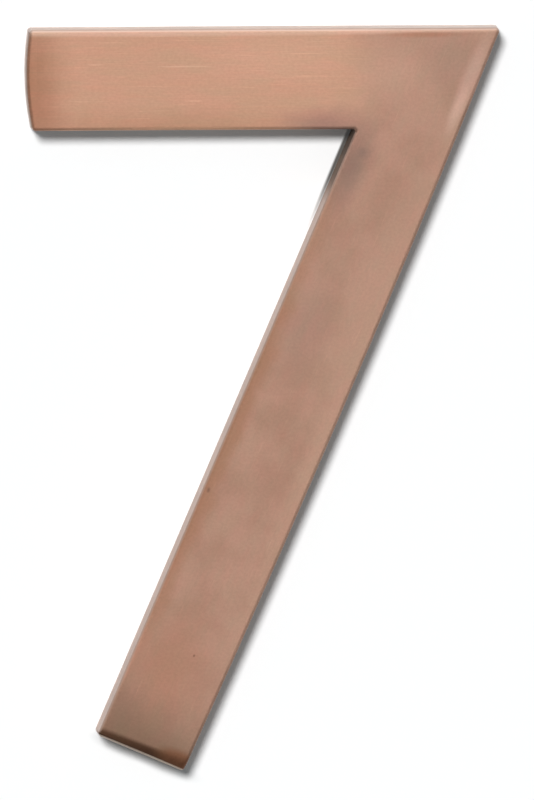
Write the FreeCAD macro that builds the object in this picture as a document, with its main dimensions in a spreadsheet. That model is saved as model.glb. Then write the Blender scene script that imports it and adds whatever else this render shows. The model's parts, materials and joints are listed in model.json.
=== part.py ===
import FreeCAD, Part
import Sketcher
import math
import os

# Numeral seven for a door: one solid casting with a flat ground back, drafted side walls,
# a brushed face that the brushing belt has rolled over at both ends of the stroke, and two
# tapped blind holes in the back for the studs that hold it to the door.
# It is drawn lying on its back, with the face up, and then stood upright: the back is in
# the XZ plane, the face looks along -Y, and the origin is on the back, in the middle of
# the numeral's overall width and height.

NODE = "number_seven"
UPRIGHT = FreeCAD.Rotation(FreeCAD.Vector(1, 0, 0), 90)

# Driving dimensions, in millimetres and degrees
SIZES = {
    "overall_height": 101.6,
    "overall_width": 64.95,
    "thickness": 8.0,
    "bar_height": 14.0,
    "stem_width": 13.0,
    "stem_angle": 23.35,
    "stem_bow_radius": 2450.0,
    "end_bow_radius": 38.4,
    "end_bow_drop": 6.1,
    "wall_draft": 1.0,
    "inner_corner_radius": 0.25,
    "bar_roll_radius": 4.0,
    "bar_roll_reach": 1.5,
    "foot_roll_radius": 2.6,
    "foot_roll_reach": 1.5,
    "foot_roll_slant": 6.3,
    "edge_radius": 0.5,
    "stud_hole_diameter": 4.0,
    "stud_hole_cover": 1.5,
    "stud_hole_drill_angle": 118.0,
    "stud_hole_mouth_diameter": 4.6,
    "stud_hole_mouth_angle": 90.0,
    "upper_hole_inset": 17.0,
    "lower_hole_inset": 17.0,
}

# Lengths and places that follow from the driving dimensions
STEM_RUN = "dims.overall_height * tan(dims.stem_angle)"
END_BOW_REACH = "dims.overall_width - dims.end_bow_radius"
FOOT_X = "dims.overall_width / 2 - " + STEM_RUN + " - dims.stem_width / 2 * cos(dims.stem_angle)"
FOOT_Y = "dims.stem_width / 2 * sin(dims.stem_angle) - dims.overall_height / 2"
DRILL_POINT = "dims.stud_hole_diameter / 2 / tan(dims.stud_hole_drill_angle / 2)"
STUD_HOLE_DEPTH = "dims.thickness - dims.stud_hole_cover - " + DRILL_POINT
UPPER_HOLE_X = "dims.upper_hole_inset - dims.overall_width / 2"
UPPER_HOLE_Y = "(dims.overall_height - dims.bar_height) / 2"
LOWER_HOLE_X = FOOT_X + " + dims.lower_hole_inset * sin(dims.stem_angle)"
LOWER_HOLE_Y = FOOT_Y + " + dims.lower_hole_inset * cos(dims.stem_angle)"

# Where each stroke ends, and which way the belt ran off it there
BAR_END = {"x": "-dims.overall_width / 2", "y": UPPER_HOLE_Y, "heading": "180"}
STEM_END = {"x": FOOT_X, "y": FOOT_Y, "heading": "270 - dims.stem_angle + dims.foot_roll_slant"}

# Numbers that a sketch gives to the points of a line or an arc, and to its own origin
START, END, CENTRE = 1, 2, 3
ORIGIN = -1

# An edge is sharp where its two faces turn by more than this
SHARP_TURN = math.radians(15.0)


def make_sheet(doc):
    sheet = doc.addObject("Spreadsheet::Sheet", "dims")
    for row, (name, value) in enumerate(SIZES.items(), start=1):
        sheet.set("A%d" % row, name)
        sheet.set("B%d" % row, str(value))
        sheet.setAlias("B%d" % row, name)
    doc.recompute()


def origin_plane(body, role):
    return next(item for item in body.Origin.OriginFeatures if item.Role == role)


def flat_sketch(body, name, role):
    sketch = body.newObject("Sketcher::SketchObject", name)
    sketch.AttachmentSupport = [(origin_plane(body, role), "")]
    sketch.MapMode = "FlatFace"
    return sketch


def bind(sketch, name, expression, kind, *geometry):
    value = float(sketch.evalExpression(expression))
    index = sketch.addConstraint(Sketcher.Constraint(kind, *geometry, value))
    sketch.renameConstraint(index, name)
    sketch.setExpression("Constraints." + name, expression)


# Outline of the back: a bar with a bowed end, and a slanted stem with a foot square to it
# The stem's right edge is bowed a little, and its width is measured at the foot
def draw_outline(body):
    half_width = SIZES["overall_width"] / 2
    half_height = SIZES["overall_height"] / 2
    slant = math.radians(SIZES["stem_angle"])
    under_level = half_height - SIZES["bar_height"]
    bow_radius = SIZES["end_bow_radius"]
    bow_x = bow_radius - half_width
    bow_y = half_height - SIZES["end_bow_drop"]

    def on_chord(y):
        return FreeCAD.Vector(half_width - (half_height - y) * math.tan(slant), y)

    def on_end(y):
        return FreeCAD.Vector(bow_x - math.sqrt(bow_radius**2 - (y - bow_y) ** 2), y)

    to_right = FreeCAD.Vector(math.cos(slant), -math.sin(slant))
    stem_level_width = FreeCAD.Vector(SIZES["stem_width"] / math.cos(slant), 0)
    half_chord = half_height / math.cos(slant)
    stem_bow = SIZES["stem_bow_radius"] - math.sqrt(SIZES["stem_bow_radius"] ** 2 - half_chord**2)
    corners = [
        on_end(half_height),
        on_chord(half_height),
        on_chord(-half_height),
        on_chord(-half_height) - to_right * SIZES["stem_width"],
        on_chord(under_level) - stem_level_width,
        on_end(under_level),
    ]

    sketch = flat_sketch(body, "outline", "XY_Plane")
    lines = [Part.LineSegment(one, other) for one, other in zip(corners, corners[1:])]
    top, chord, foot, left, under = sketch.addGeometry(lines, False)
    sketch.setConstruction(chord, True)
    end_middle = on_end((half_height + under_level) / 2)
    end_bow = sketch.addGeometry(Part.Arc(corners[0], end_middle, corners[-1]), False)
    right_middle = on_chord(0) + to_right * stem_bow
    right_bow = sketch.addGeometry(Part.Arc(corners[2], right_middle, corners[1]), False)

    for one, other in ((top, chord), (chord, foot), (foot, left), (left, under)):
        sketch.addConstraint(Sketcher.Constraint("Coincident", one, END, other, START))
    sketch.addConstraint(Sketcher.Constraint("Coincident", end_bow, START, top, START))
    sketch.addConstraint(Sketcher.Constraint("Coincident", end_bow, END, under, END))
    sketch.addConstraint(Sketcher.Constraint("Coincident", right_bow, START, chord, END))
    sketch.addConstraint(Sketcher.Constraint("Coincident", right_bow, END, chord, START))
    sketch.addConstraint(Sketcher.Constraint("Horizontal", top))
    sketch.addConstraint(Sketcher.Constraint("Horizontal", under))
    sketch.addConstraint(Sketcher.Constraint("Parallel", left, chord))
    sketch.addConstraint(Sketcher.Constraint("Perpendicular", foot, chord))

    corner = (chord, START)
    bind(sketch, "half_width", "dims.overall_width / 2", "DistanceX", ORIGIN, START, *corner)
    bind(sketch, "half_height", "dims.overall_height / 2", "DistanceY", ORIGIN, START, *corner)
    bind(sketch, "full_height", "dims.overall_height", "DistanceY", chord, END, *corner)
    bind(sketch, "stem_run", STEM_RUN, "DistanceX", chord, END, *corner)
    bind(sketch, "stem_width", "dims.stem_width", "Distance", foot)
    bind(sketch, "stem_bow_radius", "dims.stem_bow_radius", "Radius", right_bow)
    bind(sketch, "bar_height", "dims.bar_height", "DistanceY", under, START, *corner)
    bind(sketch, "end_bow_radius", "dims.end_bow_radius", "Radius", end_bow)
    bind(sketch, "end_bow_drop", "dims.end_bow_drop", "DistanceY", end_bow, CENTRE, *corner)
    bind(sketch, "end_bow_reach", END_BOW_REACH, "DistanceX", end_bow, CENTRE, *corner)

    inner_corner = corners[4]
    return sketch, inner_corner


def nearest_edge(feature, place):
    spot = Part.Vertex(place)
    distances = [edge.distToShape(spot)[0] for edge in feature.Shape.Edges]
    return "Edge%d" % (distances.index(min(distances)) + 1)


# The walls of the casting, which stand on the back
def side_walls(feature):
    names = []
    for number, face in enumerate(feature.Shape.Faces, start=1):
        if face.BoundBox.ZLength > SIZES["thickness"] / 2:
            names.append("Face%d" % number)
    return names


# Every sharp edge except those of the flat back
def sharp_edges(feature):
    names = []
    for number, edge in enumerate(feature.Shape.Edges, start=1):
        middle = edge.valueAt((edge.FirstParameter + edge.LastParameter) / 2)
        faces = feature.Shape.ancestorsOfType(edge, Part.Face)
        one, other = [face.normalAt(*face.Surface.parameter(middle)) for face in faces]
        on_back = edge.BoundBox.ZMax < SIZES["edge_radius"]
        if one.getAngle(other) > SHARP_TURN and not on_back:
            names.append("Edge%d" % number)
    return names


def round_edges(body, name, base, edges, radius):
    fillet = body.newObject("PartDesign::Fillet", name)
    fillet.Base = (base, edges)
    fillet.setExpression("Radius", "dims." + radius)
    body.Document.recompute()
    return fillet


# Rolls the face over at the end of a stroke, on a round that leaves the face tangentially
# The sketch stands on the back and heads out past the end, with its origin at the end
def roll_end(body, name, end):
    sketch = flat_sketch(body, name + "_profile", "XZ_Plane")
    turn = FreeCAD.Rotation(FreeCAD.Vector(0, 1, 0), float(sketch.evalExpression(end["heading"])))
    sketch.AttachmentOffset = FreeCAD.Placement(FreeCAD.Vector(0, 0, 0), turn)
    sketch.setExpression("AttachmentOffset.Rotation.Angle", end["heading"])
    sketch.setExpression("AttachmentOffset.Base.x", end["x"])
    sketch.setExpression("AttachmentOffset.Base.z", "-(" + end["y"] + ")")

    radius = SIZES[name + "_radius"]
    reach = SIZES[name + "_reach"]
    centre = FreeCAD.Vector(-reach, SIZES["thickness"] - radius)
    side = centre + FreeCAD.Vector(radius, 0)
    crest = centre + FreeCAD.Vector(0, radius)
    clear = FreeCAD.Vector(0, 2 * radius)
    round_off = Part.ArcOfCircle(Part.Circle(centre, FreeCAD.Vector(0, 0, 1), radius), 0, math.pi / 2)
    roll = sketch.addGeometry(round_off, False)
    edges = [
        Part.LineSegment(side, side + clear),
        Part.LineSegment(side + clear, centre + clear),
        Part.LineSegment(centre + clear, crest),
    ]
    outside, above, inside = sketch.addGeometry(edges, False)
    for one, one_end, other, other_end in (
        (roll, START, outside, START),
        (outside, END, above, START),
        (above, END, inside, START),
        (inside, END, roll, END),
    ):
        sketch.addConstraint(Sketcher.Constraint("Coincident", one, one_end, other, other_end))
    sketch.addConstraint(Sketcher.Constraint("Vertical", outside))
    sketch.addConstraint(Sketcher.Constraint("Horizontal", above))
    sketch.addConstraint(Sketcher.Constraint("Vertical", inside))
    sketch.addConstraint(Sketcher.Constraint("Horizontal", roll, CENTRE, roll, START))
    sketch.addConstraint(Sketcher.Constraint("Vertical", roll, CENTRE, roll, END))
    bind(sketch, "radius", "dims." + name + "_radius", "Radius", roll)
    bind(sketch, "reach", "dims." + name + "_reach", "DistanceX", roll, CENTRE, ORIGIN, START)
    bind(sketch, "face", "dims.thickness", "DistanceY", ORIGIN, START, roll, END)
    bind(sketch, "clear", "2 * dims." + name + "_radius", "DistanceY", roll, START, outside, END)

    pocket = body.newObject("PartDesign::Pocket", name)
    pocket.Profile = sketch
    pocket.SideType = "Symmetric"
    pocket.Type = "ThroughAll"
    body.Document.recompute()
    return pocket


# The casting: padded from the back to the face, with draft on its walls and eased edges
def cast_number(body):
    outline, inner_corner = draw_outline(body)
    to_middle = FreeCAD.Vector(0, 0, SIZES["thickness"] / 2)

    casting = body.newObject("PartDesign::Pad", "casting")
    casting.Profile = outline
    casting.setExpression("Length", "dims.thickness")
    body.Document.recompute()

    drafted = body.newObject("PartDesign::Draft", "drafted")
    drafted.Base = (casting, side_walls(casting))
    drafted.NeutralPlane = (origin_plane(body, "XY_Plane"), [""])
    drafted.setExpression("Angle", "dims.wall_draft")
    body.Document.recompute()

    inner_edge = [nearest_edge(drafted, inner_corner + to_middle)]
    round_edges(body, "inner_round", drafted, inner_edge, "inner_corner_radius")
    roll_end(body, "bar_roll", BAR_END)
    rolled = roll_end(body, "foot_roll", STEM_END)
    round_edges(body, "eased_edges", rolled, sharp_edges(rolled), "edge_radius")


# Two blind holes in the back, on the middle lines of the bar and of the stem
def drill_stud_holes(body):
    sketch = flat_sketch(body, "stud_places", "XY_Plane")
    places = {"upper": (UPPER_HOLE_X, UPPER_HOLE_Y), "lower": (LOWER_HOLE_X, LOWER_HOLE_Y)}
    for name, (across, up) in places.items():
        centre = FreeCAD.Vector(*[float(sketch.evalExpression(place)) for place in (across, up)])
        radius = SIZES["stud_hole_diameter"] / 2
        circle = sketch.addGeometry(Part.Circle(centre, FreeCAD.Vector(0, 0, 1), radius), False)
        bind(sketch, name + "_across", across, "DistanceX", ORIGIN, START, circle, CENTRE)
        bind(sketch, name + "_up", up, "DistanceY", ORIGIN, START, circle, CENTRE)
        bind(sketch, name + "_radius", "dims.stud_hole_diameter / 2", "Radius", circle)
    body.Document.recompute()

    holes = body.newObject("PartDesign::Hole", "stud_holes")
    holes.Profile = sketch
    holes.Reversed = True
    holes.DepthType = "Dimension"
    holes.DrillPoint = "Angled"
    holes.HoleCutType = "Countersink"
    holes.setExpression("Diameter", "dims.stud_hole_diameter")
    holes.setExpression("Depth", STUD_HOLE_DEPTH)
    holes.setExpression("DrillPointAngle", "dims.stud_hole_drill_angle")
    holes.setExpression("HoleCutDiameter", "dims.stud_hole_mouth_diameter")
    holes.setExpression("HoleCutCountersinkAngle", "dims.stud_hole_mouth_angle")
    body.Document.recompute()


def check(doc, body):
    for item in doc.Objects:
        if "Invalid" in item.State or "Error" in item.State:
            raise RuntimeError("%s did not build" % item.Label)
        is_cut = item.TypeId in ("PartDesign::Pocket", "PartDesign::Hole")
        if is_cut and item.Shape.Volume >= item.BaseFeature.Shape.Volume:
            raise RuntimeError("%s cut nothing" % item.Label)
    shape = body.Shape
    if shape.isNull() or not shape.isValid() or len(shape.Solids) != 1:
        raise RuntimeError("%s is not one valid solid" % body.Label)


doc = FreeCAD.newDocument("door_number")
make_sheet(doc)
number = doc.addObject("PartDesign::Body", NODE)
number.Label = NODE
number.Placement = FreeCAD.Placement(FreeCAD.Vector(0, 0, 0), UPRIGHT)
cast_number(number)
drill_stud_holes(number)
doc.recompute()
check(doc, number)

os.makedirs("parts", exist_ok=True)
number.Shape.exportStep("parts/%s.step" % NODE)
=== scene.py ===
import json
import math
from collections import namedtuple

import bpy
from mathutils import Matrix, Vector


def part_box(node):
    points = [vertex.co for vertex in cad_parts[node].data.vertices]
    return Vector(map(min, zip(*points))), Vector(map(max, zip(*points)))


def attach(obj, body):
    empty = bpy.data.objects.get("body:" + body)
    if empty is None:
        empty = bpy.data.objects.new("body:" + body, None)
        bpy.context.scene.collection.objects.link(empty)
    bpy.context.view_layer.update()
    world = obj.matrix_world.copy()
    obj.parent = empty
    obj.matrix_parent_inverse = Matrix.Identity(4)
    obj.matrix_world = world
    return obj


# A numeral seven for a door: cast brass, brushed and toned to an antique copper brown
# It is fixed flat against a plain white wall, lit from the upper left

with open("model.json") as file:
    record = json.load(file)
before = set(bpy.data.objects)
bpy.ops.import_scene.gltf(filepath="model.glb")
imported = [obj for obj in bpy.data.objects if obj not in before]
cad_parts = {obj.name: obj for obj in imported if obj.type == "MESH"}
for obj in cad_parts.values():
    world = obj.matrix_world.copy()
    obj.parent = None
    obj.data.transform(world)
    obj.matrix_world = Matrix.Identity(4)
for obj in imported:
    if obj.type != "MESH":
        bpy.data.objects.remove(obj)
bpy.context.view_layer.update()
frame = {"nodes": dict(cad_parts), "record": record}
NUMBER = "number_seven"
MM = 0.001
TO_MM = (1 / MM, 1 / MM, 1 / MM)

# Sizes of the number, in millimetres and degrees
STEM_ANGLE = 23.35
BAR_HEIGHT = 14.0
STEM_WIDTH = 13.0
MOUTH_RADIUS = 2.33
LOWEST, HIGHEST = (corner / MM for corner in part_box(NUMBER))
FACE_Y = LOWEST.y
SLANT = math.radians(STEM_ANGLE)
ALONG_STEM = STEM_ANGLE - 90.0
FOOT_X = HIGHEST.x - (HIGHEST.z - LOWEST.z) * math.tan(SLANT) - STEM_WIDTH / 2 * math.cos(SLANT)
FOOT_Z = LOWEST.z + STEM_WIDTH / 2 * math.sin(SLANT)
MOUNTS = {mount["name"]: mount for mount in frame["record"]["mounts"]}
STUD_HOLES = ("upper_stud_hole", "lower_stud_hole")

# The thread's ridge in a stud hole, in millimetres and degrees, and the share of its section at its ends
THREAD_PITCH = 0.7
THREAD_ANGLE = 60.0
THREAD_CREST = THREAD_PITCH / 4
THREAD_INNER_RADIUS = 1.62
THREAD_SEAT = 0.02
THREAD_STEPS = 48
THREAD_TIP = 0.02
SHARP_ANGLE = 30.0

# Where the camera stands, seen from the number, in degrees and millimetres
CAMERA_LEFT = 2.5
CAMERA_UP = 3.4
CAMERA_ROLL = -0.23
CAMERA_DISTANCE = 2000.0
PICTURE_HEIGHT = 109.01
PICTURE_CENTRE = Vector((0.17, 0.08))
SENSOR = 36.0

# The nearest and the farthest that the camera sees, in metres
CLIP_START = 0.1
CLIP_END = 20.0

# Where the key light stands, seen from the number, in degrees
KEY_LEFT = 9.0
KEY_UP = 13.3
KEY_SIZE = 10.8
KEY_STRENGTH = 2.9

# A weaker light behind the wall, for views of the back, in degrees from the front
BACK_LEFT = 160.0
BACK_UP = 25.0
BACK_STRENGTH = 1.6

# The studio around: a faint light for the shadows, and what the metal mirrors, brighter higher up
WHITE = (1.0, 1.0, 1.0)
AMBIENT_COLOUR = (0.84, 0.96, 1.0)
AMBIENT_STRENGTH = 0.178
MIRRORED_HEIGHTS = (0.1, 0.95)
MIRRORED_STRENGTHS = (0.42, 1.75)

# The wall, in metres, with the number set into it and holes drilled for its studs, in millimetres
WALL_SIZE = 3.0
WALL_SUNK = 0.2
DRILLED_RADIUS = 2.6
WALL_WHITE = (0.92, 0.92, 0.92)
WALL_GLOW = 0.04

# Linear colours of the finish
COPPER = (0.363, 0.224, 0.169)
COPPER_DEEP = (0.327, 0.197, 0.146)
PINK_BLUSH = (1.03, 0.985, 0.98)
YELLOW_BLUSH = (0.97, 1.0, 0.97)
# Paler copper on the edges that face up: partly rubbed, partly a painted highlight
RUBBED_EDGE_HIGHLIGHT = (0.51, 0.375, 0.315)
SIDE_COPPER = (0.36, 0.235, 0.18)
# Paler copper on the sides that face up: a painted highlight
SIDE_TOP_HIGHLIGHT = (0.47, 0.34, 0.275)
# Dark copper on the sides: a painted shade in the inner corner, and darker towards the face on the bar's end
SIDE_DARKENING = (0.135, 0.095, 0.072)
BACK_COPPER = (0.34, 0.205, 0.15)
BACK_DULL = (0.26, 0.16, 0.118)
RAW_BRASS = (0.62, 0.43, 0.17)

# The usual range of a noise, its middle, and how a seed shifts it along each axis
NOISE_RANGE = (0.3, 0.7)
NOISE_MIDDLE = 0.5
SEED_SHIFT = (1.0, 0.37, 0.71)

# Marks that the brush left: length on the bar, length on the stem and width in millimetres, and a seed
Brush = namedtuple("Brush", "bar_length stem_length width seed")
FINE_BRUSH = Brush(5.0, 1.6, 0.24, 1.0)
BROAD_BRUSH = Brush(12.0, 5.0, 1.0, 2.0)
SCRATCH_BRUSH = Brush(9.0, 5.0, 0.2, 12.0)
BLUSH_BRUSH = Brush(6.0, 4.0, 2.0, 9.0)
BRUSH_DETAIL = 4.0
BRUSH_ROUGHNESS = 0.6
BROAD_SHARE = 0.35
STEM_SEED = 5.0
MARK_DEPTH = 0.006
LIGHT_SPREAD = 0.3

# Share by which the brush marks are fainter on the stem
STEM_CALM = 0.15

# The stem's brushing takes over from the bar's on both sides of the inner corner, and from above the bar's
# underside to below it, in millimetres
CORNER_BLEND = 5.0
BLEND_ABOVE = 2.0
BLEND_BELOW = 4.0

# Other marks on the metal: how many to a millimetre along each axis, a seed and the detail
Pattern = namedtuple("Pattern", "stretch seed detail")
MOTTLE = Pattern((0.14, 0.14, 0.14), 3.0, 3.0)
SPECKLE = Pattern((2.2, 2.2, 3.0), 7.0, 2.0)
SANDING = Pattern((0.1, 1.0, 6.0), 6.0, 3.0)
SIDE_MARKS = Pattern((0.2, 3.5, 0.2), 11.0, 3.0)
WANDER = Pattern((0.3, 0.3, 0.3), 4.0, 2.0)
TURNING = Pattern((0.9, 9.0, 0.9), 8.0, 2.0)
MOTTLE_RANGE = (0.35, 0.65)
SCRATCH_RANGE = (0.58, 0.72)
SANDING_RELIEF = 0.35

# How much the marks darken and lighten the metal
GRAIN_SHADES = (0.875, 1.125)
SPECKLE_SHADES = (0.965, 1.035)
SCRATCH_SHADES = (1.0, 1.1)
SIDE_SHADES = (0.88, 1.12)
SIDE_MOTTLE_SHADES = (0.92, 1.08)
BACK_SHADES = (0.93, 1.07)
THREAD_SHADES = (0.8, 1.1)

# How rough the metal is
FACE_ROUGHNESS = (0.68, 0.78)
EDGE_ROUGHNESS = 0.6
SIDE_ROUGHNESS = (0.3, 0.4)
DARKENED_SIDE_ROUGHNESS = 0.9
BACK_ROUGHNESS = (0.62, 0.5)
HOLE_ROUGHNESS = 0.3
THREAD_ROUGHNESS = (0.26, 0.4)

# Where the zones of the surface begin and are full, by how far it looks forward, up or right, from 1 to -1
SIDE_FORWARD = (0.4, 0.05)
BACK_FORWARD = (-0.5, -0.9)
EDGE_FORWARD_LEAST = (0.1, 0.4)
EDGE_FORWARD_MOST = (0.99, 0.85)
TOP_EDGE_UP = (0.1, 0.5)
TOP_UP = (0.5, 0.9)
BAR_END_RIGHT = (-0.94, -0.97)

# Depths behind the face between which the darkening of the bar's end fades in, and the brass of the holes
END_DARKENING_DEPTHS = (6.5, 1.0)
END_DARKENING_STRENGTH = 0.6
HOLE_DEPTHS = (0.8, 1.2)

# Tones on the face, from ageing and marks, with painted highlights and shades among them: centre, half
# length and half width in millimetres, turn in degrees from the bar's direction, share of the reach that has
# full strength, linear colour and strength
Tone = namedtuple("Tone", "x z length width turn core colour strength")
TONES = {
    # Painted sheen: the bar made lighter than the stem, as its brushing would catch the light from above
    "bar_painted_sheen": Tone(-9.5, 45.0, 29.0, 17.0, 0.0, 0.65, (0.432, 0.26, 0.184), 1.0),
    "paler_join": Tone(2.0, 47.0, 16.0, 6.0, 0.0, 0.0, (0.465, 0.285, 0.205), 0.8),
    "dull_underside": Tone(-14.0, 36.4, 34.0, 4.8, 0.0, 0.0, (0.36, 0.208, 0.139), 0.9),
    "purple_underside": Tone(8.5, 37.4, 9.0, 3.6, 0.0, 0.0, (0.293, 0.174, 0.138), 0.95),
    "bar_end": Tone(-34.0, 42.8, 9.2, 16.0, 0.0, 0.2, (0.31, 0.155, 0.098), 0.9),
    # Painted highlight: a pale band below the face's top edge, widening the edge's highlight
    "top_painted_highlight": Tone(0.0, 50.8, 60.0, 1.26, -0.3, 0.62, (0.5, 0.335, 0.26), 0.85),
    "long_scratch": Tone(-10.8, 45.6, 4.6, 0.16, -0.3, 0.4, (0.51, 0.325, 0.238), 0.7),
    "short_scratch": Tone(-9.6, 40.9, 1.6, 0.16, 0.3, 0.3, (0.5, 0.31, 0.22), 0.8),
    "left_scratch": Tone(-23.0, 45.9, 1.8, 0.16, 0.2, 0.3, (0.49, 0.305, 0.22), 0.7),
    "pale_underside_line": Tone(-11.0, 36.8, 23.5, 0.55, 0.0, 0.6, (0.54, 0.33, 0.23), 0.9),
    "red_line": Tone(21.7, 49.75, 7.5, 0.55, 0.0, 0.2, (0.33, 0.165, 0.11), 0.8),
    "paler_turn": Tone(18.5, 44.5, 8.5, 8.0, 0.0, 0.0, (0.41, 0.258, 0.195), 0.8),
    "grey_corner": Tone(26.0, 46.0, 7.0, 6.5, 0.0, 0.0, (0.325, 0.207, 0.158), 0.8),
    "paler_corner": Tone(27.95, 43.5, 10.0, 1.6, ALONG_STEM, 0.2, (0.44, 0.307, 0.252), 0.55),
    "bright_corner": Tone(26.3, 39.5, 4.6, 1.2, ALONG_STEM, 0.1, (0.5, 0.335, 0.274), 0.6),
    "purple_corner": Tone(11.0, 31.8, 8.5, 4.4, ALONG_STEM, 0.0, (0.228, 0.146, 0.12), 0.9),
    "smoke_spot": Tone(13.4, 33.7, 1.3, 1.2, 0.0, 0.0, (0.2, 0.134, 0.114), 0.5),
    "purple_stem": Tone(5.5, 10.0, 11.0, 5.0, ALONG_STEM, 0.0, (0.325, 0.202, 0.157), 0.8),
    "paler_right": Tone(10.3, 0.0, 56.0, 2.8, ALONG_STEM, 0.1, (0.388, 0.25, 0.188), 0.7),
    "paler_upper_right": Tone(14.0, 14.0, 24.0, 4.2, ALONG_STEM, 0.2, (0.377, 0.24, 0.181), 0.8),
    "warm_left": Tone(-5.8, -6.0, 52.0, 2.8, ALONG_STEM, 0.2, (0.308, 0.17, 0.112), 0.9),
    "left_edge": Tone(-6.7, -7.0, 46.0, 0.95, ALONG_STEM, 0.3, (0.235, 0.126, 0.08), 0.9),
    "red_stem": Tone(-13.8, -37.2, 13.0, 8.0, ALONG_STEM, 0.0, (0.337, 0.184, 0.129), 0.9),
    "dark_foot": Tone(-20.5, -43.0, 10.0, 5.0, ALONG_STEM, 0.0, (0.22, 0.135, 0.1), 0.5),
    "brown_foot": Tone(FOOT_X, FOOT_Z, 10.0, 22.0, ALONG_STEM, 0.1, (0.195, 0.122, 0.085), 0.9),
    # Darker band along the rolled foot, widest at its right end
    "foot_dark_band": Tone(-17.15, -47.8, 1.4, 18.0, ALONG_STEM - 1.5, 0.45, (0.08, 0.042, 0.026), 1.0),
    "foot_dark_end": Tone(-12.1, -49.25, 1.98, 4.4, ALONG_STEM, 0.4, (0.17, 0.078, 0.044), 0.9),
    "foot_arris": Tone(FOOT_X, FOOT_Z, 0.4, 14.0, ALONG_STEM, 0.7, (0.48, 0.4, 0.34), 0.9),
    "pit": Tone(-9.93, -34.8, 0.3, 0.22, ALONG_STEM, 0.0, (0.16, 0.08, 0.055), 0.9),
    "edge_spot": Tone(-7.85, -12.15, 0.6, 0.35, ALONG_STEM, 0.0, (0.18, 0.1, 0.07), 0.9),
}

# Painted shade on the number's sides in the inner corner
CORNER_SIDE_SHADE = Tone(11.4, 34.5, 9.0, 1.8, ALONG_STEM, 0.4, SIDE_DARKENING, 1.0)

# Shades painted on the wall, which the photo has and the lights don't give: a painted shade in the inner
# corner, and a longer painted shadow below the foot
WALL_TONES = {
    "corner_painted_shade": Tone(11.3, 35.05, 15.0, 0.48, ALONG_STEM, 0.3, (0.08, 0.072, 0.064), 1.0),
    "foot_shade_left": Tone(-19.5, -47.85, 1.6, 6.0, ALONG_STEM, 0.0, (0.08, 0.08, 0.08), 0.45),
    "foot_shade_right": Tone(-13.6, -50.4, 1.6, 6.0, ALONG_STEM, 0.0, (0.08, 0.08, 0.08), 0.45),
}

# A tone on the face wanders by up to half of this where it is at least so broad, in millimetres
WANDER_REACH = 2.4
BROAD_TONE = 2.0

# A tone or a hole reaches through any depth of the part
ANY_DEPTH = 1000.0
HOLE_EDGE = (1.01, 0.99)

# Sockets of a Mix node for each kind of value: the factor, both inputs and the output
MIX_SOCKETS = {"FLOAT": (0, 2, 3, 0), "VECTOR": (0, 4, 5, 1), "RGBA": (0, 6, 7, 2)}

# What the functions of the number's finish hand on: places on the strokes, marks, and shares of zones
Strokes = namedtuple("Strokes", "place stem_place stem_share")
Marks = namedtuple("Marks", "fine grain scratches blush mottle speckle sanding side")
Zones = namedtuple("Zones", "edge top_edge side top oxide back holes")


def connect(tree, value, socket):
    if isinstance(value, bpy.types.NodeSocket):
        tree.links.new(value, socket)
    else:
        socket.default_value = value


def add(tree, kind, inputs=None, **settings):
    node = tree.nodes.new(kind)
    for name, value in settings.items():
        setattr(node, name, value)
    for name, value in (inputs or {}).items():
        connect(tree, value, node.inputs[name])
    return node


def maths(tree, operation, *values):
    node = add(tree, "ShaderNodeMath", operation=operation)
    for socket, value in zip(node.inputs, values):
        connect(tree, value, socket)
    return node.outputs["Value"]


def vector(tree, operation, *values):
    node = add(tree, "ShaderNodeVectorMath", operation=operation)
    for socket, value in zip(node.inputs, values):
        connect(tree, value, socket)
    return node.outputs["Value" if operation == "LENGTH" else "Vector"]


def parts(tree, value):
    return add(tree, "ShaderNodeSeparateXYZ", {"Vector": value}).outputs


def mix(tree, kind, factor, one, other, blend="MIX"):
    node = add(tree, "ShaderNodeMix", data_type=kind, blend_type=blend)
    *inputs, output = MIX_SOCKETS[kind]
    for index, value in zip(inputs, (factor, one, other)):
        connect(tree, value, node.inputs[index])
    return node.outputs[output]


def mix_colour(tree, factor, one, other):
    return mix(tree, "RGBA", factor, one, other)


def mix_value(tree, factor, one, other):
    return mix(tree, "FLOAT", factor, one, other)


def shade(tree, colour, factor):
    return mix(tree, "RGBA", 1.0, colour, factor, "MULTIPLY")


def ramp(tree, value, low, high, out_low=0.0, out_high=1.0):
    inputs = {"Value": value, "From Min": low, "From Max": high, "To Min": out_low, "To Max": out_high}
    return add(tree, "ShaderNodeMapRange", inputs, interpolation_type="SMOOTHSTEP").outputs["Result"]


def vary(tree, marks, limits=(0.0, 1.0)):
    """A value that follows marks between two limits."""
    return ramp(tree, marks, *NOISE_RANGE, *limits)


def noise(tree, place, seed, detail, roughness=0.5):
    shifted = vector(tree, "ADD", place, tuple(seed * share for share in SEED_SHIFT))
    inputs = {"Vector": shifted, "Scale": 1.0, "Detail": detail, "Roughness": roughness}
    return add(tree, "ShaderNodeTexNoise", inputs).outputs


def pattern(tree, place, kind):
    return noise(tree, vector(tree, "MULTIPLY", place, kind.stretch), kind.seed, kind.detail)


def place_in_mm(tree):
    """Place on an object in millimetres, in the frame that all objects share."""
    return vector(tree, "MULTIPLY", add(tree, "ShaderNodeTexCoord").outputs["Object"], TO_MM)


def rgba(colour):
    return (*colour, 1.0)


def new_material(name):
    material = bpy.data.materials.new(name)
    material.use_nodes = True
    material.node_tree.nodes.clear()
    return material


def link(thing):
    bpy.context.scene.collection.objects.link(thing)
    return thing


def direction(left, up):
    """Unit vector from the number towards a place in front of it, so many degrees left and up."""
    left, up = math.radians(left), math.radians(up)
    return Vector((-math.sin(left) * math.cos(up), -math.cos(left) * math.cos(up), math.sin(up)))


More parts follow.
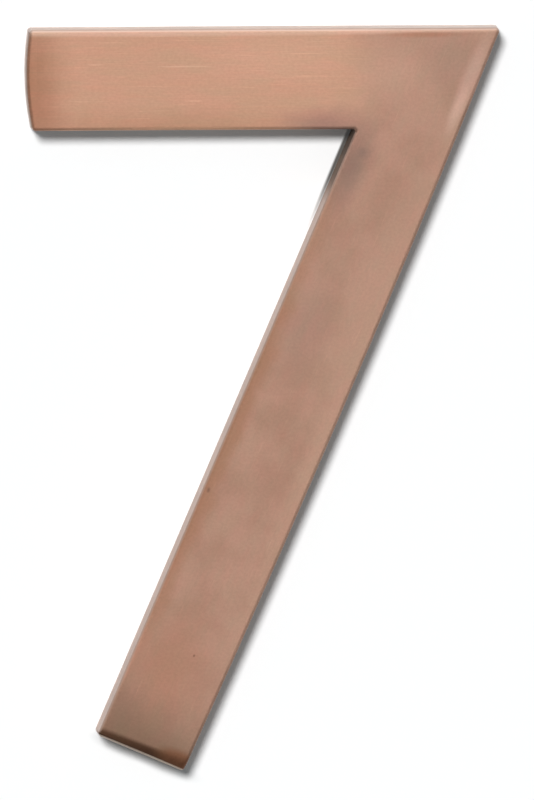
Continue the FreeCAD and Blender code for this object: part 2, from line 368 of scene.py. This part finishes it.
def make_camera():
    data = bpy.data.cameras.new("camera")
    data.sensor_width = SENSOR
    data.lens = SENSOR * CAMERA_DISTANCE / PICTURE_HEIGHT
    data.clip_start = CLIP_START
    data.clip_end = CLIP_END
    camera = link(bpy.data.objects.new("camera", data))
    towards = direction(CAMERA_LEFT, CAMERA_UP)
    aim = Vector((PICTURE_CENTRE.x, FACE_Y, PICTURE_CENTRE.y))
    turn = towards.to_track_quat("Z", "Y").to_matrix().to_4x4()
    roll = Matrix.Rotation(math.radians(CAMERA_ROLL), 4, "Z")
    camera.matrix_world = Matrix.Translation((aim + towards * CAMERA_DISTANCE) * MM) @ turn @ roll
    bpy.context.scene.camera = camera


def make_sun(name, towards, strength, size):
    data = bpy.data.lights.new(name, "SUN")
    data.energy = strength
    data.angle = math.radians(size)
    lamp = link(bpy.data.objects.new(name, data))
    lamp.rotation_mode = "QUATERNION"
    lamp.rotation_quaternion = towards.to_track_quat("Z", "Y")


def background(tree, colour, strength):
    return add(tree, "ShaderNodeBackground", {"Color": rgba(colour), "Strength": strength}).outputs[0]


def mix_shader(tree, factor, one, other):
    return add(tree, "ShaderNodeMixShader", {0: factor, 1: one, 2: other}).outputs[0]


def make_world():
    """White where the camera sees it, a studio where the metal mirrors it, and faint in the shadows."""
    world = bpy.data.worlds.new("studio")
    bpy.context.scene.world = world
    world.use_nodes = True
    tree = world.node_tree
    tree.nodes.clear()
    height = parts(tree, add(tree, "ShaderNodeTexCoord").outputs["Generated"])["Z"]
    studio = ramp(tree, height, *MIRRORED_HEIGHTS, *MIRRORED_STRENGTHS)
    path = add(tree, "ShaderNodeLightPath").outputs
    mirror = maths(tree, "MAXIMUM", path["Is Glossy Ray"], path["Is Transmission Ray"])
    ambient = background(tree, AMBIENT_COLOUR, AMBIENT_STRENGTH)
    unseen = mix_shader(tree, mirror, ambient, background(tree, WHITE, studio))
    shown = mix_shader(tree, path["Is Camera Ray"], unseen, background(tree, WHITE, 1.0))
    add(tree, "ShaderNodeOutputWorld", {"Surface": shown})


def reach_from(tree, place, x, z, length, width, turn):
    """Distance from a place on the face, 1 on an ellipse around it, whatever the depth."""
    local = add(tree, "ShaderNodeMapping", {
        "Vector": place,
        "Location": (x, 0.0, z),
        "Rotation": (0.0, math.radians(turn), 0.0),
        "Scale": (length, ANY_DEPTH, width),
    }, vector_type="TEXTURE")
    return vector(tree, "LENGTH", local.outputs[0])


def tone_weight(tree, place, tone):
    reach = reach_from(tree, place, tone.x, tone.z, tone.length, tone.width, tone.turn)
    return ramp(tree, reach, 1.0, tone.core, 0.0, tone.strength)


def lay_tone(tree, colour, place, tone):
    return mix_colour(tree, tone_weight(tree, place, tone), colour, rgba(tone.colour))


def around_stud_holes(tree, place, radius):
    """1 inside a radius around the stud holes, whatever the depth."""
    inside = 0.0
    for hole in STUD_HOLES:
        x, _, z = MOUNTS[hole]["pos_m"]
        reach = reach_from(tree, place, x / MM, z / MM, radius, radius, 0.0)
        inside = maths(tree, "MAXIMUM", inside, ramp(tree, reach, *HOLE_EDGE))
    return inside


def wall_paint():
    """White paint, clear from behind and where holes are drilled, that glows a little for the camera."""
    material = new_material("white_wall")
    tree = material.node_tree
    path = add(tree, "ShaderNodeLightPath").outputs
    behind = add(tree, "ShaderNodeNewGeometry").outputs["Backfacing"]
    place = place_in_mm(tree)
    open_parts = maths(tree, "MAXIMUM", behind, around_stud_holes(tree, place, DRILLED_RADIUS))
    colour = rgba(WALL_WHITE)
    # Painted shadows on the wall: in the inner corner and below the foot
    for tone in WALL_TONES.values():
        colour = lay_tone(tree, colour, place, tone)
    paint = add(tree, "ShaderNodeBsdfDiffuse", {"Color": colour})
    lift = maths(tree, "MULTIPLY", path["Is Camera Ray"], WALL_GLOW)
    glow = add(tree, "ShaderNodeEmission", {"Color": rgba(WHITE), "Strength": lift})
    front = add(tree, "ShaderNodeAddShader", {0: paint.outputs[0], 1: glow.outputs[0]})
    clear = add(tree, "ShaderNodeBsdfTransparent")
    shown = mix_shader(tree, open_parts, front.outputs[0], clear.outputs[0])
    add(tree, "ShaderNodeOutputMaterial", {"Surface": shown})
    return material


def make_wall():
    half = WALL_SIZE / 2
    depth = -WALL_SUNK * MM
    corners = [(-half, depth, -half), (half, depth, -half), (half, depth, half), (-half, depth, half)]
    mesh = bpy.data.meshes.new("wall")
    mesh.from_pydata(corners, [], [(0, 1, 2, 3)])
    mesh.materials.append(wall_paint())
    link(bpy.data.objects.new("wall", mesh))


def find_strokes(tree, place):
    """Place along the bar and the stem, and the share of the stem's brushing, which runs to the top edge."""
    under = HIGHEST.z - BAR_HEIGHT
    inner_x = HIGHEST.x - BAR_HEIGHT * math.tan(SLANT) - STEM_WIDTH / math.cos(SLANT)
    along_stem = add(tree, "ShaderNodeMapping", {
        "Vector": place,
        "Rotation": (0.0, math.pi / 2 - SLANT, 0.0),
    })
    from_corner = add(tree, "ShaderNodeMapping", {
        "Vector": place,
        "Location": (inner_x, 0.0, under),
        "Rotation": (0.0, SLANT, 0.0),
    }, vector_type="TEXTURE")
    right = parts(tree, from_corner.outputs[0])["X"]
    height = parts(tree, place)["Z"]
    past_corner = ramp(tree, right, -CORNER_BLEND, CORNER_BLEND)
    below_bar = ramp(tree, height, under + BLEND_ABOVE, under - BLEND_BELOW)
    return Strokes(place, along_stem.outputs[0], maths(tree, "MAXIMUM", past_corner, below_bar))


def brush_noise(tree, place, length, width, seed):
    stretched = vector(tree, "MULTIPLY", place, (1.0 / length, 1.0 / width, 1.0 / width))
    return noise(tree, stretched, seed, BRUSH_DETAIL, BRUSH_ROUGHNESS)["Fac"]


def streaks(tree, strokes, brush):
    """Brush marks of one width, along the bar and, of another length, along the stem."""
    on_bar = brush_noise(tree, strokes.place, brush.bar_length, brush.width, brush.seed)
    on_stem = brush_noise(tree, strokes.stem_place, brush.stem_length, brush.width, brush.seed + STEM_SEED)
    return mix_value(tree, strokes.stem_share, on_bar, mix_value(tree, STEM_CALM, on_stem, NOISE_MIDDLE))


def cross_brushing(tree, strokes):
    """Direction across the brush marks, in which they spread the light."""
    across_bar = (0.0, 0.0, 1.0)
    across_stem = (-math.cos(SLANT), 0.0, math.sin(SLANT))
    return mix(tree, "VECTOR", strokes.stem_share, across_bar, across_stem)


def find_marks(tree, strokes):
    fine = streaks(tree, strokes, FINE_BRUSH)
    return Marks(
        fine=fine,
        grain=mix_value(tree, BROAD_SHARE, fine, streaks(tree, strokes, BROAD_BRUSH)),
        scratches=streaks(tree, strokes, SCRATCH_BRUSH),
        blush=streaks(tree, strokes, BLUSH_BRUSH),
        mottle=pattern(tree, strokes.place, MOTTLE)["Fac"],
        speckle=pattern(tree, strokes.place, SPECKLE)["Fac"],
        sanding=pattern(tree, strokes.place, SANDING)["Fac"],
        side=pattern(tree, strokes.place, SIDE_MARKS)["Fac"],
    )


def find_zones(tree, place):
    """Share of each zone of the surface, by the way it looks and by its place."""
    looks = parts(tree, add(tree, "ShaderNodeTexCoord").outputs["Normal"])
    forward = maths(tree, "MULTIPLY", looks["Y"], -1.0)
    depth = maths(tree, "SUBTRACT", parts(tree, place)["Y"], FACE_Y)
    leaning = ramp(tree, forward, *EDGE_FORWARD_MOST)
    edge = maths(tree, "MULTIPLY", ramp(tree, forward, *EDGE_FORWARD_LEAST), leaning)
    near_face = ramp(tree, depth, *END_DARKENING_DEPTHS, 0.0, END_DARKENING_STRENGTH)
    end_darkening = maths(tree, "MULTIPLY", ramp(tree, looks["X"], *BAR_END_RIGHT), near_face)
    drilled = around_stud_holes(tree, place, MOUTH_RADIUS)
    return Zones(
        edge=edge,
        top_edge=maths(tree, "MULTIPLY", edge, ramp(tree, looks["Z"], *TOP_EDGE_UP)),
        side=ramp(tree, maths(tree, "ABSOLUTE", forward), *SIDE_FORWARD),
        top=ramp(tree, looks["Z"], *TOP_UP),
        oxide=maths(tree, "MAXIMUM", tone_weight(tree, place, CORNER_SIDE_SHADE), end_darkening),
        back=ramp(tree, forward, *BACK_FORWARD),
        holes=maths(tree, "MULTIPLY", drilled, ramp(tree, depth, *HOLE_DEPTHS)),
    )


def add_tones(tree, colour, place):
    """Tones laid over the copper, with wandering outlines where they are broad."""
    wander = vector(tree, "SUBTRACT", pattern(tree, place, WANDER)["Color"], (NOISE_MIDDLE,) * 3)
    drift = vector(tree, "MULTIPLY", wander, (WANDER_REACH, 0.0, WANDER_REACH))
    loose_place = vector(tree, "ADD", place, drift)
    for tone in TONES.values():
        tone_place = place if min(tone.length, tone.width) < BROAD_TONE else loose_place
        colour = lay_tone(tree, colour, tone_place, tone)
    return colour


def face_colour(tree, place, marks):
    mottle = ramp(tree, marks.mottle, *MOTTLE_RANGE)
    colour = add_tones(tree, mix_colour(tree, mottle, rgba(COPPER), rgba(COPPER_DEEP)), place)
    tint = mix_colour(tree, vary(tree, marks.blush), rgba(PINK_BLUSH), rgba(YELLOW_BLUSH))
    colour = shade(tree, colour, tint)
    colour = shade(tree, colour, vary(tree, marks.grain, GRAIN_SHADES))
    colour = shade(tree, colour, vary(tree, marks.speckle, SPECKLE_SHADES))
    return shade(tree, colour, ramp(tree, marks.scratches, *SCRATCH_RANGE, *SCRATCH_SHADES))


def side_colour(tree, marks, zones):
    # Sides that face up are painted lighter, a painted highlight
    colour = mix_colour(tree, zones.top, rgba(SIDE_COPPER), rgba(SIDE_TOP_HIGHLIGHT))
    colour = shade(tree, colour, vary(tree, marks.side, SIDE_SHADES))
    colour = shade(tree, colour, vary(tree, marks.mottle, SIDE_MOTTLE_SHADES))
    # Sides darkened: a painted shade in the inner corner, and darker towards the face on the bar's end
    return mix_colour(tree, zones.oxide, colour, rgba(SIDE_DARKENING))


def back_colour(tree, marks):
    colour = mix_colour(tree, vary(tree, marks.mottle), rgba(BACK_COPPER), rgba(BACK_DULL))
    return shade(tree, colour, vary(tree, marks.sanding, BACK_SHADES))


def finish_colour(tree, place, marks, zones):
    # Edges that face up get paler copper, partly a painted highlight
    colour = mix_colour(tree, zones.top_edge, face_colour(tree, place, marks), rgba(RUBBED_EDGE_HIGHLIGHT))
    colour = mix_colour(tree, zones.side, colour, side_colour(tree, marks, zones))
    colour = mix_colour(tree, zones.back, colour, back_colour(tree, marks))
    return mix_colour(tree, zones.holes, colour, rgba(RAW_BRASS))


def finish_roughness(tree, marks, zones):
    roughness = mix_value(tree, zones.edge, vary(tree, marks.grain, FACE_ROUGHNESS), EDGE_ROUGHNESS)
    side = mix_value(tree, zones.oxide, vary(tree, marks.side, SIDE_ROUGHNESS), DARKENED_SIDE_ROUGHNESS)
    roughness = mix_value(tree, zones.side, roughness, side)
    roughness = mix_value(tree, zones.back, roughness, vary(tree, marks.sanding, BACK_ROUGHNESS))
    return mix_value(tree, zones.holes, roughness, HOLE_ROUGHNESS)


def finish_relief(tree, marks, zones):
    relief = mix_value(tree, zones.side, marks.fine, marks.side)
    back = mix_value(tree, SANDING_RELIEF, NOISE_MIDDLE, marks.sanding)
    relief = mix_value(tree, zones.back, relief, back)
    bump = add(tree, "ShaderNodeBump", {"Height": relief, "Strength": 1.0, "Distance": MARK_DEPTH * MM})
    return bump.outputs[0]


def antique_copper():
    """The number's finish: a brushed and toned face, plainer sides, a sanded back and brass in the holes,
    with some painted highlights and shades.
    """
    material = new_material("antique_copper")
    tree = material.node_tree
    place = place_in_mm(tree)
    strokes = find_strokes(tree, place)
    marks = find_marks(tree, strokes)
    zones = find_zones(tree, place)
    shader = add(tree, "ShaderNodeBsdfPrincipled", {
        "Base Color": finish_colour(tree, place, marks, zones),
        "Metallic": 1.0,
        "Roughness": finish_roughness(tree, marks, zones),
        "Anisotropic": LIGHT_SPREAD,
        "Tangent": cross_brushing(tree, strokes),
        "Normal": finish_relief(tree, marks, zones),
    })
    add(tree, "ShaderNodeOutputMaterial", {"Surface": shader.outputs[0]})
    return material


def cut_brass():
    """Bare brass of the threads, with the marks of the tap."""
    material = new_material("cut_brass")
    tree = material.node_tree
    turning = pattern(tree, place_in_mm(tree), TURNING)["Fac"]
    shader = add(tree, "ShaderNodeBsdfPrincipled", {
        "Base Color": shade(tree, rgba(RAW_BRASS), vary(tree, turning, THREAD_SHADES)),
        "Metallic": 1.0,
        "Roughness": vary(tree, turning, THREAD_ROUGHNESS),
    })
    add(tree, "ShaderNodeOutputMaterial", {"Surface": shader.outputs[0]})
    return material


def thread_points(hole, turns, count):
    """Corners of the ridge's section, from its outer to its inner side and back, step by step."""
    root_radius = hole["dims"]["r_mm"] + THREAD_SEAT
    depth = root_radius - THREAD_INNER_RADIUS
    crest_half = THREAD_CREST / 2
    root_half = crest_half + depth * math.tan(math.radians(THREAD_ANGLE / 2))
    x, y, z = (value / MM for value in hole["pos_m"])
    mouth = y + turns * THREAD_PITCH / 2
    points = []
    for step in range(count + 1):
        turn = 2 * math.pi * step / THREAD_STEPS
        fade = min(1.0, step / THREAD_STEPS + THREAD_TIP, (count - step) / THREAD_STEPS + THREAD_TIP)
        level = mouth - THREAD_PITCH * step / THREAD_STEPS
        section = [
            (root_radius, root_half * fade),
            (root_radius - depth * fade, crest_half * fade),
            (root_radius - depth * fade, -crest_half * fade),
            (root_radius, -root_half * fade),
        ]
        for radius, along in section:
            place = Vector((x - radius * math.sin(turn), level + along, z + radius * math.cos(turn)))
            points.append(place * MM)
    return points


def thread_faces(count):
    """Faces between the sections, four to a step, and one at each end."""
    faces = [(0, 1, 2, 3), tuple(4 * count + corner for corner in (3, 2, 1, 0))]
    for step in range(count):
        near, far = 4 * step, 4 * (step + 1)
        for corner in range(4):
            following = (corner + 1) % 4
            faces.append((near + following, near + corner, far + corner, far + following))
    return faces


def make_thread(hole, material):
    """Ridge of a right-handed thread, wound along the wall of a tapped hole and fading out at both ends."""
    turns = hole["dims"]["length_mm"] / THREAD_PITCH - 1.0
    count = round(turns * THREAD_STEPS)
    mesh = bpy.data.meshes.new(hole["name"] + "_thread")
    mesh.from_pydata(thread_points(hole, turns, count), [], thread_faces(count))
    mesh.shade_smooth()
    mesh.set_sharp_from_angle(angle=math.radians(SHARP_ANGLE))
    mesh.materials.append(material)
    thread = link(bpy.data.objects.new(mesh.name, mesh))
    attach(thread, "root")


make_camera()
make_sun("key_light", direction(KEY_LEFT, KEY_UP), KEY_STRENGTH, KEY_SIZE)
make_sun("back_light", direction(BACK_LEFT, BACK_UP), BACK_STRENGTH, KEY_SIZE)
make_world()
make_wall()
frame["nodes"][NUMBER].material_slots[0].material = antique_copper()
thread_brass = cut_brass()
for hole_name in STUD_HOLES:
    make_thread(MOUNTS[hole_name], thread_brass)
bpy.context.scene.view_settings.view_transform = "Standard"
